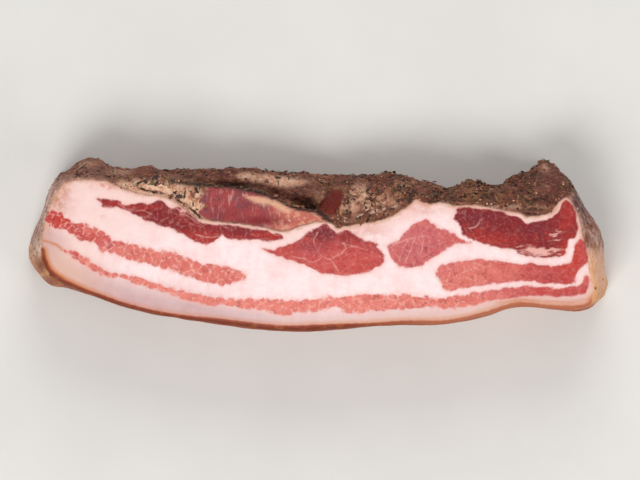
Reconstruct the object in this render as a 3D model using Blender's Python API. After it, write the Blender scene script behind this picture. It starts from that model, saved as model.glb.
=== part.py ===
"""A slab of cured pork belly, cut across its whole width.

It lies on its back cut with the fresh cut face up. X runs along the width of the belly, Y from the
rind to the crusted meat side, and Z up. The origin is in the middle of its foot.
"""

import bmesh
import bpy
import numpy as np
from mathutils import Vector, noise

MM = 0.001

# Driving sizes, in millimetres
CUT_DEPTH = 45.0
VIEW_HEIGHT = 747.0
CRAG_HEIGHT = 2.6
CRAG_SIZE = 9.0
GRAIN_HEIGHT = 1.3
GRAIN_SIZE = 3.8
END_RELIEF = 1.0
RIND_RELIEF = 0.4
LUMP_HEIGHT = 3.2
LUMP_SIZE = 26.0
FACE_RELIEF = 0.35
FACE_WAVE = 24.0

# Places in the noise from which the grains and the lumps are read
GRAIN_SHIFT = Vector((7.0, 3.0, 1.0))
LUMP_SHIFT = Vector((2.0, 9.0, 4.0))

# Cells of the cage along X, Y and Z
CELLS = (96, 12, 19)

# Outline of the fresh cut face, as (x, y). The rind and crust run left to right, the ends upwards.
FACE_RIND = [(-115.9, -5.0), (-113.8, -11.3), (-107.5, -15.5), (-92.8, -21.8), (-79.0, -26.5),
             (-49.6, -31.9), (-14.3, -36.1), (34.4, -33.4), (52.1, -33.2), (69.7, -29.8), (81.5, -26.2),
             (87.4, -25.6), (99.1, -26.9), (110.0, -26.9), (114.2, -25.6)]
FACE_CRUST = [(-105.8, 26.0), (-95.8, 26.9), (-85.7, 25.6), (-76.4, 22.3), (-65.1, 20.2), (-51.2, 13.0),
              (-31.9, 8.4), (-3.4, 8.4), (3.4, 9.7), (8.4, 7.1), (26.9, 10.5), (37.8, 16.4), (41.2, 19.0),
              (47.0, 16.8), (63.8, 16.8), (89.0, 11.8), (97.9, 13.9), (102.9, 19.3)]
FACE_LEFT = [(-115.9, -5.0), (-115.9, 0.8), (-115.1, 8.4), (-112.6, 16.4), (-109.2, 23.1), (-105.8, 26.0)]
FACE_RIGHT = [(114.2, -25.6), (115.1, -18.9), (113.8, -13.0), (112.6, -3.4), (110.5, 8.0), (107.1, 17.2),
              (102.9, 19.3)]

# Outline of the whole slab as it is seen from straight above, past the edge of the cut face
FULL_RIND = [(-121.0, -7.1), (-113.8, -16.4), (-104.6, -18.4), (-92.8, -22.3), (-79.0, -26.9),
             (-49.6, -32.3), (-14.3, -36.5), (34.4, -33.8), (52.1, -33.6), (69.7, -30.2), (81.5, -26.6),
             (87.4, -26.0), (99.1, -27.3), (114.2, -26.5), (120.1, -21.8)]
FULL_CRUST = [(-103.3, 32.3), (-98.7, 36.1), (-93.7, 34.9), (-86.9, 32.6), (-72.7, 31.5), (-49.6, 31.5),
              (-26.0, 31.9), (-2.9, 29.8), (14.7, 29.0), (34.9, 29.0), (43.7, 26.5), (54.2, 23.9),
              (61.3, 26.0), (75.6, 25.6), (87.4, 30.7), (93.2, 35.7), (96.6, 35.3), (100.0, 32.3)]
FULL_LEFT = [(-121.0, -7.1), (-121.4, -5.0), (-119.3, 3.4), (-116.3, 9.7), (-111.7, 23.1), (-107.1, 29.8),
             (-103.3, 32.3)]
FULL_RIGHT = [(120.1, -21.8), (121.4, -17.2), (120.1, -11.8), (119.3, 1.3), (116.3, 8.8), (112.1, 13.9),
              (107.1, 23.1), (102.5, 29.0), (100.0, 32.3)]

# Profile down a side, from the cut face to the foot. Reach is the part of the way from the face's
# outline to the whole outline, and drop is the depth below the face.
FOOT_REACH = 0.94
PLAIN_REACH = [0.0, 0.22, 0.48, 0.72, 0.90, 1.0, 1.0, 0.97, FOOT_REACH]
PLAIN_DROP = [0.0, 1.3, 4.2, 8.8, 14.5, 21.0, 29.0, 37.0, CUT_DEPTH]

# The lip of bare lean, which overhangs a crease on the left half of the crusted side
LIP_REACH = [(-74.0, 1.0), (-64.0, 0.78), (-58.0, 0.72), (-41.0, 0.63), (-26.0, 0.60), (-12.6, 0.42),
             (-3.0, 0.26), (6.0, 0.04)]
LIP_START = -76.0
LIP_END = 8.0
LIP_FADE = 9.0
LIP_DROP = 6.0
CREASE_DROP = 14.0
RIDGE_DROP = 11.0

# The profile there: shares of the lip's reach down to the crease, then of the way from it to the ridge
UNDER_LIP = [0.0, 0.5, 0.88, 1.0, 1.0]
TO_RIDGE = [0.35, 0.85, 1.0]
LIP_PROFILE_DROP = [0.0, 1.4, 3.6, LIP_DROP, CREASE_DROP, RIDGE_DROP, 17.0, 29.0, CUT_DEPTH]

# A smooth bare patch in the crust: its middle and half widths
PATCH = (6.0, 18.0)
PATCH_HALF = (4.6, 5.6)
PATCH_RISE = 0.5
PATCH_EDGE = (0.6, 1.3)

# How the relief comes and goes, as shares of the way down a side and of its full height
FOOT_FADE = 0.15
EDGE_HEIGHT = 0.35
EDGE_FADE = 0.2
LIP_SMOOTHING = 0.75
LIP_ROUGH_FROM = (0.35, 0.5)
LUMPS_FROM = (0.5, 0.75)
END_GRAIN = 0.3


def smooth_step(low, high, x):
    """0 below low, 1 above high and a smooth rise between them."""
    t = min(max((x - low) / (high - low), 0.0), 1.0)
    return t * t * (3.0 - 2.0 * t)


def through(stations, x):
    """Value at x of a smooth curve through stations of (x, value)."""
    xs = np.array([s[0] for s in stations])
    ys = np.array([s[1] for s in stations])
    slopes = np.gradient(ys, xs)
    i = int(np.clip(np.searchsorted(xs, x) - 1, 0, len(xs) - 2))
    step = xs[i + 1] - xs[i]
    t = min(max((x - xs[i]) / step, 0.0), 1.0)
    rise = ys[i + 1] - ys[i]
    bend = (slopes[i] * step - rise) * (1.0 - t) - (slopes[i + 1] * step - rise) * t
    return float(ys[i] + rise * t + t * (1.0 - t) * bend)


def along(stations, t):
    """Point at the share t of the way along X of an outline's long side."""
    x = stations[0][0] + t * (stations[-1][0] - stations[0][0])
    return Vector((x, through(stations, x)))


def up_along(stations, t):
    """Point at the share t of the way along Y of an outline's end."""
    y = stations[0][1] + t * (stations[-1][1] - stations[0][1])
    return Vector((through([(s[1], s[0]) for s in stations], y), y))


def inside(rind, crust, left, right, u, v):
    """Point of the flat patch that spans the four sides of an outline."""
    ruled = (1.0 - v) * along(rind, u) + v * along(crust, u)
    ruled += (1.0 - u) * up_along(left, v) + u * up_along(right, v)
    corners = (1.0 - u) * (1.0 - v) * along(rind, 0.0) + u * (1.0 - v) * along(rind, 1.0)
    corners += (1.0 - u) * v * along(crust, 0.0) + u * v * along(crust, 1.0)
    return ruled - corners


def steps(values, t):
    """Smooth curve through evenly spaced values."""
    count = len(values) - 1
    return through([(i / count, value) for i, value in enumerate(values)], t)


def lip_share(x):
    """How much of the lip's profile the crusted side has at x."""
    begun = smooth_step(LIP_START - LIP_FADE, LIP_START + LIP_FADE, x)
    ended = smooth_step(LIP_END - LIP_FADE, LIP_END, x)
    return begun * (1.0 - ended)


def side_profile(x, t, on_crust):
    """Reach and drop at the share t of the way down a side."""
    reach = steps(PLAIN_REACH, t)
    drop = steps(PLAIN_DROP, t)
    share = lip_share(x) if on_crust else 0.0
    if share > 0.0:
        lip = through(LIP_REACH, x)
        lip_reach = [part * lip for part in UNDER_LIP] + [lip + part * (1.0 - lip) for part in TO_RIDGE]
        reach += share * (steps(lip_reach + [FOOT_REACH], t) - reach)
        drop += share * (steps(LIP_PROFILE_DROP, t) - drop)
    return reach, drop


def patch_share(point):
    """1 on the smooth bare patch of the crust and 0 away from it."""
    across = (point.x / MM - PATCH[0]) / PATCH_HALF[0]
    up = (point.y / MM - PATCH[1]) / PATCH_HALF[1]
    return 1.0 - smooth_step(*PATCH_EDGE, across ** 2 + up ** 2)


def cut_cage():
    """A unit cube cut by planes into the cells of the cage, as a closed surface."""
    cage = bmesh.new()
    bmesh.ops.create_cube(cage, size=1.0)
    bmesh.ops.translate(cage, verts=cage.verts, vec=(0.5, 0.5, 0.5))
    for axis, count in enumerate(CELLS):
        for i in range(1, count):
            place = Vector((0.5, 0.5, 0.5))
            place[axis] = i / count
            normal = Vector((0.0, 0.0, 0.0))
            normal[axis] = 1.0
            everything = cage.verts[:] + cage.edges[:] + cage.faces[:]
            bmesh.ops.bisect_plane(cage, geom=everything, plane_co=place, plane_no=normal, dist=1e-6)
    return cage


def bend_to_shape(cage):
    """Move the cage's corners to the slab's outline and sides, and return each one's relief height."""
    relief = {}
    for vert in cage.verts:
        u, v, w = vert.co
        on_top = w > 1.0 - 1e-5
        on_foot = w < 1e-5
        on_crust = v > 1.0 - 1e-5
        on_rind = v < 1e-5
        face = inside(FACE_RIND, FACE_CRUST, FACE_LEFT, FACE_RIGHT, u, v)
        full = inside(FULL_RIND, FULL_CRUST, FULL_LEFT, FULL_RIGHT, u, v)
        reach, drop = side_profile(face.x, 1.0 - w, on_crust)
        seen = face + reach * (full - face)
        spread = 1.0 + drop / VIEW_HEIGHT
        vert.co = Vector((seen.x * spread, seen.y * spread, CUT_DEPTH - drop)) * MM
        low_fade = smooth_step(0.0, FOOT_FADE, w)
        if on_foot:
            relief[vert] = (0.0, 0.0, 0.0, 0.0)
        elif on_top and not on_crust:
            relief[vert] = (0.0, 0.0, FACE_RELIEF, 0.0)
        elif on_crust:
            edge = EDGE_HEIGHT + (1.0 - EDGE_HEIGHT) * smooth_step(0.0, EDGE_FADE, 1.0 - w)
            on_lip = lip_share(face.x) * (1.0 - smooth_step(*LIP_ROUGH_FROM, 1.0 - w))
            amount = low_fade * edge * (1.0 - LIP_SMOOTHING * on_lip)
            lump = LUMP_HEIGHT * low_fade * smooth_step(*LUMPS_FROM, 1.0 - w)
            relief[vert] = (CRAG_HEIGHT * amount, GRAIN_HEIGHT * amount, 0.0, lump)
        elif on_rind:
            relief[vert] = (RIND_RELIEF * low_fade, 0.0, 0.0, 0.0)
        else:
            relief[vert] = (END_RELIEF * low_fade, END_GRAIN * END_RELIEF * low_fade, 0.0, 0.0)
    return relief


def raise_relief(cage, relief):
    """Push the surface in and out for the crags, the grains of the crust and the wavy cut."""
    cage.normal_update()
    moves = []
    for vert in cage.verts:
        crag, grain, wave, lump = relief[vert]
        bare = patch_share(vert.co) if crag > 0.0 else 0.0
        rough = crag * noise.fractal(vert.co / (CRAG_SIZE * MM), 1.0, 2.0, 2)
        rough += grain * noise.noise(vert.co / (GRAIN_SIZE * MM) + GRAIN_SHIFT)
        height = (1.0 - bare) * rough + bare * PATCH_RISE
        height += wave * noise.noise(vert.co / (FACE_WAVE * MM))
        height -= lump * (0.5 + noise.noise(vert.co / (LUMP_SIZE * MM) + LUMP_SHIFT))
        moves.append((vert, vert.normal * height * MM))
    for vert, move in moves:
        vert.co += move


def flatten_foot(cage):
    """Join the cells of the flat foot, which needs none of them."""
    foot = {face for face in cage.faces if max(vert.co.z for vert in face.verts) < 1e-6}
    inner = [edge for edge in cage.edges if foot.issuperset(edge.link_faces)]
    bmesh.ops.dissolve_edges(cage, edges=inner, use_verts=True, use_face_split=False)


def centre_on_foot(cage):
    """Shift the slab so that the origin is in the middle of its box, at the bottom."""
    low = Vector([min(vert.co[axis] for vert in cage.verts) for axis in range(3)])
    high = Vector([max(vert.co[axis] for vert in cage.verts) for axis in range(3)])
    bmesh.ops.translate(cage, verts=cage.verts, vec=(-(low.x + high.x) / 2, -(low.y + high.y) / 2, -low.z))


def cured_meat():
    """The plain colour of cured fat and lean."""
    material = bpy.data.materials.new("cured_meat")
    material.use_nodes = True
    shader = material.node_tree.nodes["Principled BSDF"]
    shader.inputs["Base Color"].default_value = (0.72, 0.36, 0.33, 1.0)
    shader.inputs["Roughness"].default_value = 0.5
    shader.inputs["Metallic"].default_value = 0.0
    return material


def make_slab(collection):
    """The whole slab as one closed body."""
    cage = cut_cage()
    relief = bend_to_shape(cage)
    raise_relief(cage, relief)
    flatten_foot(cage)
    centre_on_foot(cage)
    bmesh.ops.recalc_face_normals(cage, faces=cage.faces)
    mesh = bpy.data.meshes.new("slab")
    cage.to_mesh(mesh)
    cage.free()
    mesh.materials.append(cured_meat())
    mesh.shade_smooth()
    slab = bpy.data.objects.new("slab", mesh)
    collection.objects.link(slab)
    return slab


def main():
    for item in list(bpy.data.objects):
        bpy.data.objects.remove(item, do_unlink=True)
    collection = bpy.data.collections.new("pork_belly_slab")
    bpy.context.scene.collection.children.link(collection)
    make_slab(collection)


main()
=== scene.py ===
"""A slab of cured pork belly, seen from straight above its fresh cut: fat, lean, rind and spice crust."""

import math

import bpy
import numpy as np
from mathutils import Matrix, Vector, noise


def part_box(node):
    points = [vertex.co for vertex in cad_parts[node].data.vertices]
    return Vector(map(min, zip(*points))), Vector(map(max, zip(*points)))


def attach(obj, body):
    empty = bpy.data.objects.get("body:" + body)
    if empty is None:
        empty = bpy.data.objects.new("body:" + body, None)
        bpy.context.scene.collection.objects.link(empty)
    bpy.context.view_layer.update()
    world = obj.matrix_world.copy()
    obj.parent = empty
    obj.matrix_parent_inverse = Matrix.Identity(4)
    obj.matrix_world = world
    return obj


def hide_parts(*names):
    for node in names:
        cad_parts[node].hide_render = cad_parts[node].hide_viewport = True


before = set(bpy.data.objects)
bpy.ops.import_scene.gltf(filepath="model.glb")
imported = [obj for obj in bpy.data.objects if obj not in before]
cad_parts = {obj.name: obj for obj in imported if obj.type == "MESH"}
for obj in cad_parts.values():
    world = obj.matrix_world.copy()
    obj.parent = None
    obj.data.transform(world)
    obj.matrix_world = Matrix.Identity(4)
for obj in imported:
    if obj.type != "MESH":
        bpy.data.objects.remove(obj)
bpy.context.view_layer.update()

MM = 0.001
LOW, HIGH = (np.array(corner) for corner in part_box("slab"))

# The photograph: the size of one pixel on the cut face, the pixel over the origin, the middle pixel
# and the camera's height above the cut face
PIXEL = 0.42 * MM
PIXEL_MM = PIXEL / MM
ORIGIN_PIXEL = (317.8, 244.5)
MIDDLE_PIXEL = (320, 240)
PICTURE_WIDTH = 640
FACE_LEVEL = 45.2 * MM
CAMERA_LENS = 100
CAMERA_SENSOR = 36
CAMERA_HEIGHT = PIXEL * PICTURE_WIDTH * CAMERA_LENS / CAMERA_SENSOR

# The skin: the size of its cells, and what remeshing takes off and crags add in millimetres
VOXEL = 1.02 * MM
REMESH_LOSS = 0.3
CRUST_BUMP = 0.85
PATCH_LEVEL = 0.35

# How far from an outline depths are measured, in pixels
MARGIN = 16.0

# Outline of the cut face, in pixels of the photograph, clockwise from the left end of the rind
CUT_EDGE = [
    (42, 257), (42, 243), (44, 225), (50, 206), (58, 190), (66, 183), (80, 180), (104, 181), (125, 189),
    (141, 194), (159, 196), (170, 199), (180, 205), (189, 212), (196, 217), (214, 221), (240, 224),
    (262, 227), (283, 231), (298, 227), (315, 222), (326, 222), (333, 224), (338, 228), (347, 226),
    (368, 223), (382, 220), (396, 214), (408, 206), (416, 200), (429, 204), (442, 202), (454, 206),
    (470, 205), (491, 208), (505, 211), (519, 213), (530, 217), (541, 215), (551, 212), (558, 203),
    (563, 199), (567, 198), (573, 204), (578, 215), (581, 226), (585, 243), (588, 262), (590, 276),
    (593, 290), (591, 303), (586, 308), (554, 310), (526, 307), (512, 308), (484, 317), (442, 325),
    (400, 325.5), (326, 331), (284, 332), (242, 328), (200, 322), (160, 316), (130, 309), (97, 298),
    (80, 291), (62, 283), (49, 273)]

# The rind's outer line, left to right
RIND_LINE = [
    (41, 252), (42, 258), (48, 272), (62, 282.5), (80, 291), (97, 297.5), (130, 308.5), (160, 315.5),
    (200, 321.5), (242, 327.5), (284, 331.5), (326, 330.5), (368, 328.5), (400, 325), (442, 324.5),
    (463, 321.5), (484, 316.5), (512, 307.5), (526, 306.5), (554, 309.5), (586, 308.5), (596, 300)]

# Lean in the cut face, each as a closed outline
LEAN_TOP_LEFT = [
    (97, 198.5), (108, 200), (118, 200.5), (126, 204.5), (142, 202.6), (150, 204), (159, 200), (171, 208),
    (178, 207), (186, 210), (200, 222), (216, 224.5), (240, 226.5), (276, 233), (284, 237), (279, 240),
    (266, 240.5), (248, 240), (228, 239), (221, 235), (215, 241), (202, 243.5), (186, 237), (171, 228.6),
    (153, 223), (128, 211.7), (115, 207.5), (103, 206.5), (101, 203)]
LEAN_LONG_LEFT = [
    (46, 213), (51, 210.5), (60.7, 212.5), (67, 218.5), (76, 223), (84, 223.5), (98, 229), (107, 234),
    (115, 241), (131, 243), (143, 248), (160, 251), (174, 251.5), (199, 263.5), (216, 264), (241, 271),
    (246, 277), (237, 283), (226, 285.4), (209, 283.3), (186, 276.3), (153, 265), (132, 261), (118, 255),
    (101, 251), (97, 245.5), (87, 242), (75, 236.5), (65, 230.5), (54, 228.5), (46, 222)]
LEAN_MIDDLE = [
    (260.7, 247.8), (273, 249.6), (283, 246.8), (298.6, 239.8), (318, 227), (327, 224.6), (333, 229),
    (338, 233), (346, 230), (356, 235.6), (367, 241), (378.5, 243.3), (376, 246.8), (381.5, 251),
    (385, 259.4), (381, 265), (367, 272), (350.5, 275.6), (332, 275), (318, 272), (304, 265), (283, 258)]
LEAN_RIGHT = [
    (387, 245.4), (398, 241), (402, 236), (412, 225.8), (421, 221), (429, 220.5), (436, 227), (448, 230.7),
    (465, 241), (472, 243.5), (455, 244.2), (438, 255), (427, 261), (421, 266), (406.6, 267.5), (396, 264),
    (390, 254)]
LEAN_TOP_RIGHT = [
    (459, 207), (455, 213), (454.5, 219), (462, 228.6), (464, 235.5), (476, 241), (490, 245.4), (504, 248),
    (516, 250), (519, 254.5), (535, 256.5), (552, 258), (560, 256.5), (565, 253.5), (569, 241), (576, 234),
    (577, 220), (573, 206), (566, 199.5), (562, 203), (558, 212), (546, 220), (528, 223), (518, 217.5),
    (490, 209.3), (476, 208)]
LEAN_LONG_RIGHT = [
    (436, 272), (441, 266.5), (454, 262), (472, 259.4), (504, 260.8), (520, 265), (532, 263), (546, 265.8),
    (567, 264.3), (573, 258), (576, 243), (579, 239), (583.5, 239.8), (588, 253), (587.5, 262),
    (580, 269.3), (576, 275), (574.5, 283), (560, 284.3), (518, 280.5), (504, 282.6), (462, 288.4),
    (449.5, 290.5), (441, 284)]
LEAN_LOWEST = [
    (65, 249), (80, 254), (104, 269), (122, 274.5), (142, 277.7), (169, 287.5), (209, 296), (240, 299),
    (262, 299), (287, 300.3), (310, 300), (327, 296.6), (339, 297), (369, 294), (401, 294.5), (441, 297.5),
    (458, 295), (518, 286.5), (539, 286.6), (560, 288), (574, 286.5), (582, 282.5), (585.5, 276),
    (588.5, 277.5), (589, 286), (585, 293), (574, 296), (553, 296.8), (532, 295.8), (490, 301.5),
    (469, 306.5), (448, 309), (420, 308), (367, 311.8), (343.5, 312.5), (339, 307), (318, 311),
    (293, 313.5), (279, 315.6), (262, 310), (241, 308.5), (223.5, 305.5), (202, 304.5), (181, 298),
    (139, 285), (122, 278.4), (104, 276), (87, 267), (69, 255)]

# Each lean's outline, how dark it is (0 salmon, 1 dusky) and how streaky
LEANS = [
    (LEAN_TOP_LEFT, 0.82, 0.25),
    (LEAN_LONG_LEFT, 0.22, 0.9),
    (LEAN_MIDDLE, 0.62, 0.15),
    (LEAN_RIGHT, 0.32, 0.3),
    (LEAN_TOP_RIGHT, 0.86, 0.2),
    (LEAN_LONG_RIGHT, 0.22, 0.6),
    (LEAN_LOWEST, 0.1, 0.85),
]

# Pale seams inside the lean
SEAMS = [
    [(318, 232), (314, 240), (317, 250), (323, 257), (330, 259), (340, 254), (347, 248),
     (356, 247), (366, 250)],
    [(323, 257), (313, 262), (303, 259), (292, 257)],
    [(330, 259), (336, 268), (340, 274)],
    [(347, 248), (343, 243), (352, 246)],
    [(387, 247), (398, 243), (408, 239), (415, 237), (424, 236), (432, 238)],
    [(415, 237), (411, 249), (405, 262)],
    [(421, 232), (423, 240), (421, 256)],
    [(428, 239), (434, 248)],
    [(408, 239), (403, 249), (399, 260)],
    [(118, 204), (130, 210), (143, 211), (152, 215)],
    [(516, 247), (528, 245), (541, 249), (560, 251)],
    [(517, 250.5), (530, 249.5), (546, 253), (561, 254.5)],
    [(519, 253.5), (533, 253.5), (550, 256)],
    [(526, 246), (532, 250), (536, 254)],
    [(172, 205), (181, 212), (192, 219), (203, 226)],
    [(196, 235), (208, 237), (218, 236)],
    [(104, 236), (107, 243), (103, 250)],
    [(121, 246), (124, 250), (122, 256)],
    [(481, 219), (477, 226), (469, 229)],
]

# The bare lip of lean with its creamy bevel, the tan places and the smooth patch of the crust
BARE_LIP = [
    (209, 187), (216, 186), (231, 188), (248, 191), (269, 196), (280, 201), (293, 208), (310, 211),
    (319, 214), (331, 223), (315, 222), (298, 227), (283, 231), (262, 227), (240, 223.5), (214, 220),
    (203, 217), (199, 211), (205, 206), (199, 200), (206, 193)]
FAT_BEVEL = [
    (244, 196), (258, 196), (272, 199), (284, 204), (292, 210), (284, 212), (272, 206), (256, 203)]
RIDGE_FAT = [
    (236, 175), (250, 173), (275, 176), (301, 180), (303, 184), (285, 187), (262, 182), (246, 180)]
TAN_CRUST = [
    (118, 181), (133, 180), (150, 181), (168, 183), (185, 187), (199, 191), (205, 205), (203, 219),
    (192, 213), (180, 205), (166, 198), (150, 195), (136, 191), (122, 186)]
PATCH = [
    (331, 190.5), (342, 190.5), (343.5, 198), (339.5, 208), (335, 215), (327, 213), (320, 209), (321, 202),
    (326, 196)]

# Open lines: the crack and the crease of the crust, the torn shred, the stain and a soft streak of fat
CRACK = [
    (106, 176), (120, 178), (132, 181), (141, 188), (152, 192), (164, 193.5), (176, 199), (186, 205),
    (194, 211), (201, 218)]
CREASE = [
    (150, 176), (168, 180), (185, 183), (205, 185), (231, 186.5), (250, 190), (269, 195), (281, 200),
    (293, 207), (310, 210), (320, 213), (332, 223)]
MEMBRANE = [
    (349, 219), (362, 214.5), (374, 212), (385, 208.5), (396, 207)]
STAIN = [
    (43, 241), (50, 242), (59, 247), (63, 250)]
FAT_STREAK = [
    (497, 303), (520, 300), (545, 301), (570, 302), (588, 299)]

# Soft spots of colour on the cut: middle across and down, half width, half height and strength
CUT_SPOTS = {
    "redder": [
        (60, 220, 14, 10, 0.9), (96, 238, 26, 8, 0.35), (571, 258, 13, 24, 0.9), (545, 291, 48, 7, 0.7),
        (568, 215, 11, 26, 0.5), (118, 207, 26, 5, 0.5), (200, 237, 30, 7, 0.55), (268, 236, 18, 5, 0.5),
        (486, 239, 34, 7, 0.5), (362, 264, 26, 9, 0.4), (285, 248, 16, 7, 0.3), (458, 298, 40, 6, 0.3)],
    "mauve": [
        (325, 233, 20, 9, 0.9), (308, 248, 18, 9, 0.5), (416, 244, 42, 28, 0.5), (478, 217, 22, 9, 0.6),
        (532, 231, 26, 8, 0.55), (232, 231, 30, 4, 0.5), (108, 244, 9, 4, 0.5), (556, 274, 20, 5, 0.25),
        (530, 291, 60, 8, 0.4), (568, 224, 11, 20, 0.4)],
    "paler": [
        (554, 235, 8, 7, 0.8), (540, 251, 25, 5, 0.95), (183, 211, 11, 4.5, 0.75), (446, 285, 14, 6, 0.35)],
    "blushed": [
        (186, 209, 14, 6, 0.9), (108, 186, 15, 3.5, 0.8), (362, 231, 28, 8, 0.45), (426, 207, 20, 8, 0.5),
        (102, 217, 3, 1.6, 0.6), (64, 205, 12, 18, 0.35), (530, 300, 50, 5, 0.3), (206, 221, 10, 3, 0.4)],
}

# The same on the lip, the crust and the ends
SIDE_SPOTS = {
    "wet": [
        (289, 215, 12, 9, 1), (384, 209, 18, 8, 0.9), (250, 210, 34, 12, 0.35)],
    "scab": [
        (41, 265, 7, 9, 0.95), (51, 281, 11, 7, 0.9), (38, 233, 7, 9, 0.4)],
    "film": [
        (39, 246, 6, 12, 0.9), (44, 228, 5, 12, 0.5), (603, 275, 7, 22, 0.5)],
    "rusty": [
        (374, 198, 34, 15, 1), (352, 205, 16, 12, 0.7), (330, 188, 26, 7, 0.25), (476, 202, 30, 8, 0.35),
        (545, 206, 14, 8, 0.5), (412, 193, 18, 8, 0.6)],
    "tan_lump": [
        (168, 189, 32, 8, 1), (192, 200, 12, 14, 1), (361, 195, 11, 10, 1), (150, 192, 26, 4, 1),
        (350, 204, 12, 12, 0.7), (374, 202, 14, 10, 0.85), (120, 172, 14, 5, 0.45), (136, 185, 18, 5, 0.75),
        (288, 181, 22, 4, 0.5), (85, 164, 12, 4, 0.5), (320, 198, 7, 9, 0.3), (392, 200, 12, 9, 0.45),
        (545, 168, 4, 4, 0.6), (500, 207, 50, 2.5, 0.5), (406, 184, 14, 4, 0.4)],
    "dark_lump": [
        (101, 172, 12, 6, 0.8), (436, 195, 8, 6, 1), (530, 181, 14, 12, 0.8), (540, 203, 18, 11, 0.7),
        (562, 184, 12, 18, 0.5), (544, 174, 12, 10, 0.5), (344, 216, 9, 6, 0.9), (378, 208, 5, 6, 0.7),
        (248, 187, 18, 4, 0.8), (367, 188, 6, 4, 0.8), (498, 200, 26, 6, 0.5), (122, 182, 10, 3, 0.7),
        (384, 180, 10, 4, 0.5), (186, 178, 14, 5, 0.5)],
    "mauve_lump": [
        (356, 181, 24, 7, 1), (290, 193, 18, 8, 1), (556, 182, 10, 20, 0.9), (522, 187, 12, 10, 0.6),
        (148, 171, 34, 5, 0.8), (215, 176, 34, 6, 0.8), (318, 190, 12, 8, 0.5), (416, 190, 16, 7, 0.5)],
    "tanned": [
        (57, 198, 8, 16, 0.95), (48, 219, 4, 16, 0.85), (584, 225, 5, 24, 0.8), (592, 262, 4, 18, 0.4),
        (467, 206, 15, 3, 0.95), (490, 208, 12, 2.5, 0.5), (553, 208, 9, 8, 0.6), (61, 189, 9, 9, 1)],
    "olive": [
        (482, 192, 30, 10, 1), (128, 178, 20, 6, 0.6), (404, 190, 12, 8, 0.5), (334, 186, 14, 5, 0.4)],
    "deep_red": [
        (262, 221, 30, 5, 0.9), (226, 214, 20, 7, 0.45), (250, 206, 10, 4, 0.4)],
    "bloom": [
        (160, 178, 28, 4, 0.6), (100, 171, 34, 8, 0.6), (545, 178, 18, 16, 0.45), (300, 190, 26, 5, 0.35),
        (64, 182, 16, 10, 0.5)],
}
# Painted highlights: pale spots that stand in for the glints on the wet lip and in the notch
GLINTS = [
    (287, 209, 1.6, 2.4, 1), (289.5, 221, 2, 2.6, 1), (299, 219, 1.8, 2, 0.9), (366, 209, 6, 2.4, 0.8),
    (371, 205, 3, 2, 0.8), (345, 222, 4, 1.5, 0.7)]
BARE_CRUST = [
    (546, 178, 24, 20, 1), (96, 172, 36, 14, 1), (444, 190, 14, 5, 0.7)]

# Where things fade in across the photograph, from the pixel with none to the pixel with all
NEAR_RIND_Y = (262, 284)
LEFT_END_X = (96, 58)
LEFT_END_Y = (172, 194)
RIGHT_END_X = (566, 574)
ON_RIGHT_X = (560, 572)
LOW_END_Y = (242, 262)
GREY_END_Y = (232, 205)
RIND_SIDE_LEFT_X = (58, 82)
RIND_SIDE_RIGHT_X = (604, 588)
RUGGED_X = (300, 350)
SUNK_LEFT_X = (335, 360)
SUNK_RIGHT_X = (515, 480)
SPICED_X = (318, 350)
# The crease's painted shade fades in across this span
CREASE_SHADE_X = (148, 175)
WARM_LIP_X = (262, 292)
DARK_LEAN_Y = (262, 226)
DARK_LEFT_X = (110, 60)
DARK_RIGHT_X = (485, 550)
PLAIN_LEAN_X = (455, 515)
THICK_RIND_LEFT_X = (180, 235)
THICK_RIND_RIGHT_X = (400, 345)
PALE_RIND_X = (330, 470)
DULL_FAT_X = (330, 180)
CREAMY_FAT_X = (250, 330)
ROSY_FAT_X = (230, 90)
ROSY_FAT_Y = (262, 232)
CLEAR_FAT_Y = (238, 262)
SMOOTH_END_X = (480, 560)
WARM_LEFT_X = (130, 50)
WARM_LEFT_Y = (225, 275)
WARM_RIGHT_X = (575, 600)
WARM_RIGHT_Y = (240, 300)

# The ends lean: pixels across for each pixel down, on the left and above the foot of the peak on the right
LEFT_END_SLOPE = 0.35
PEAK_SLOPE = 0.42
PEAK_FOOT_Y = 200

# The back cut: its upper line, the line of the fresh cut that it is squeezed to, its middle and its width
BACK_CRUST = [(72, 168), (145, 170), (256, 169), (353, 176), (447, 186), (498, 184), (548, 166)]
BACK_CUT = [
    (66, 183), (125, 189), (196, 215), (283, 229), (338, 227), (382, 219), (416, 200), (470, 205),
    (530, 216), (563, 199)]
BACK_MIDDLE_X = 318
BACK_WIDTH = 0.96



def link(piece):
    """Put a piece into the scene."""
    bpy.context.scene.collection.objects.link(piece)


def edit(piece):
    """Select one piece alone and go into its mesh."""
    bpy.ops.object.select_all(action="DESELECT")
    piece.select_set(True)
    bpy.context.view_layer.objects.active = piece
    bpy.ops.object.mode_set(mode="EDIT")


def rise(low, high, x):
    """0 below low, 1 above high and a smooth rise between them, for whole arrays."""
    t = np.clip((x - low) / (high - low), 0, 1)
    return t * t * (3 - 2 * t)


def rounded(points, closed, parts=4):
    """A smooth line through the points."""
    p = np.array(points, float)
    if closed:
        before, after, beyond = np.roll(p, 1, 0), np.roll(p, -1, 0), np.roll(p, -2, 0)
        start = p
    else:
        padded = np.vstack([2 * p[0] - p[1], p, 2 * p[-1] - p[-2]])
        before, start, after, beyond = padded[:-3], padded[1:-2], padded[2:-1], padded[3:]
    rows = []
    for i in range(parts):
        t = i / parts
        square = (2 * before - 5 * start + 4 * after - beyond) * t ** 2
        cube = (3 * start - before - 3 * after + beyond) * t ** 3
        rows.append(0.5 * (2 * start + (after - before) * t + square + cube))
    line = np.stack(rows, 1).reshape(-1, 2)
    return line if closed else np.vstack([line, p[-1]])


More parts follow.
